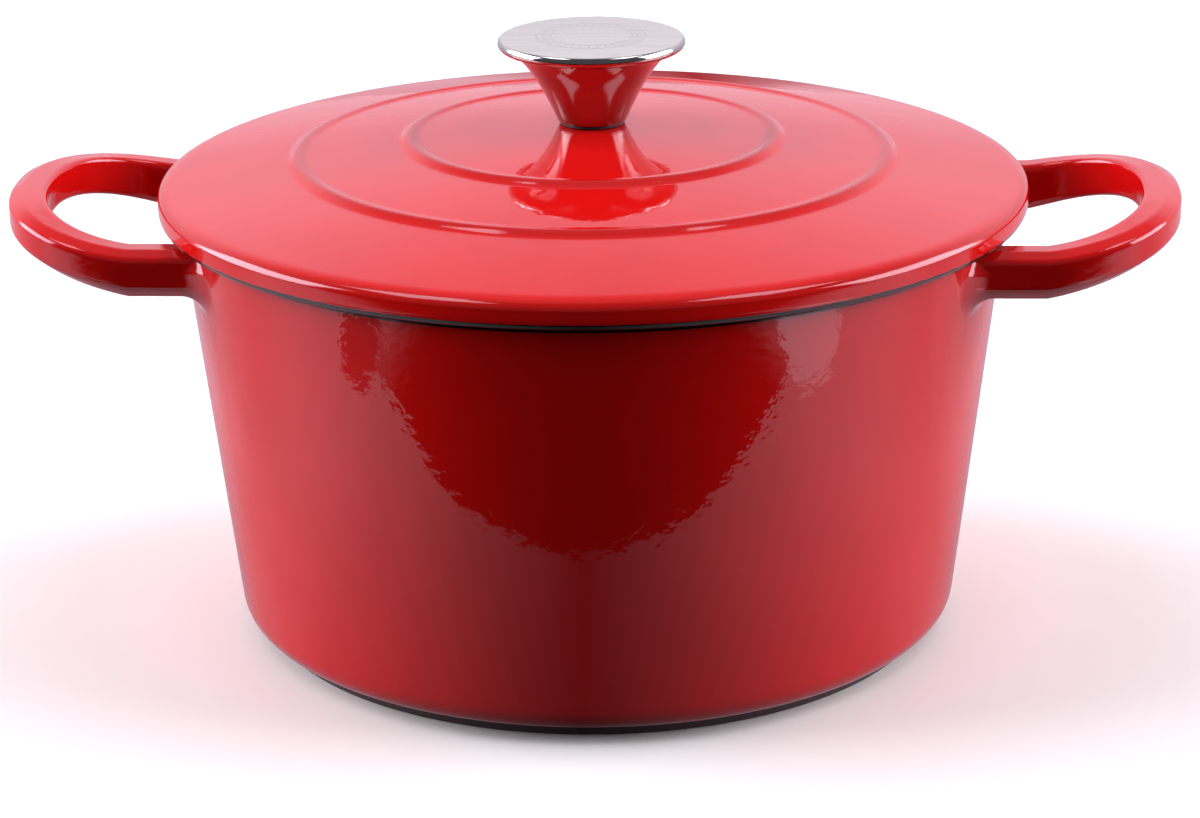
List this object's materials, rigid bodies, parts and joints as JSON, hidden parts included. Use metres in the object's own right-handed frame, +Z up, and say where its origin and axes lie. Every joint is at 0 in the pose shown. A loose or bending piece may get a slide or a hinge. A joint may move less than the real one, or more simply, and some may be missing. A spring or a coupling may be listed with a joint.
{
  "type": "enamelled cast iron dutch oven",
  "caption": "Round tapered cooking pot with loop handles and a domed lid that lifts off by a flared steel knob, held by a screw from under the lid.",
  "frame": {"origin": "centre of the foot ring, on the surface that the pot stands on", "axes": "+Z up along the pot's axis, X through both handles, Y across; the front is seen looking along +Y"},
  "size_m": [0.369, 0.274, 0.1904],
  "materials": {
    "red_enamelled_iron": "glossy red glass enamel fired on cast iron, slightly wavy; black rim, cream inside, dark foot",
    "polished_steel": "polished stainless steel that mirrors the lid",
    "brushed_steel": "stainless steel with a fine satin brushing",
    "zinc_steel": "zinc plated steel",
    "gasket_rubber": "matt black"
  },
  "bodies": {
    "pot": {"pot_body": "red_enamelled_iron"},
    "lid": {"lid_body": "red_enamelled_iron", "knob_body": "polished_steel", "knob_cap": "brushed_steel", "knob_insert": "zinc_steel", "knob_gasket": "gasket_rubber"},
    "washers": {"flat_washer": "zinc_steel", "spring_washer": "zinc_steel"},
    "screw": {"knob_screw": "zinc_steel"}
  },
  "joints": [
    {"name": "lid_lift", "type": "slide", "parent": "pot", "child": "lid", "axis": [0, 0, 1], "range_m": [0, 0.2]},
    {"name": "screw_travel", "type": "slide", "parent": "lid", "child": "washers", "axis": [0, 0, -1], "range_m": [0, 0.01]},
    {"name": "screw_turn", "type": "hinge", "parent": "washers", "child": "screw", "pos_m": [0, 0, 0.16], "axis": [0, 0, -1], "range_deg": [0, 3601]}
  ],
  "couplings": [
    {"joint": "screw_turn", "follows": "screw_travel", "rad_per_m": 6283.2}
  ]
}
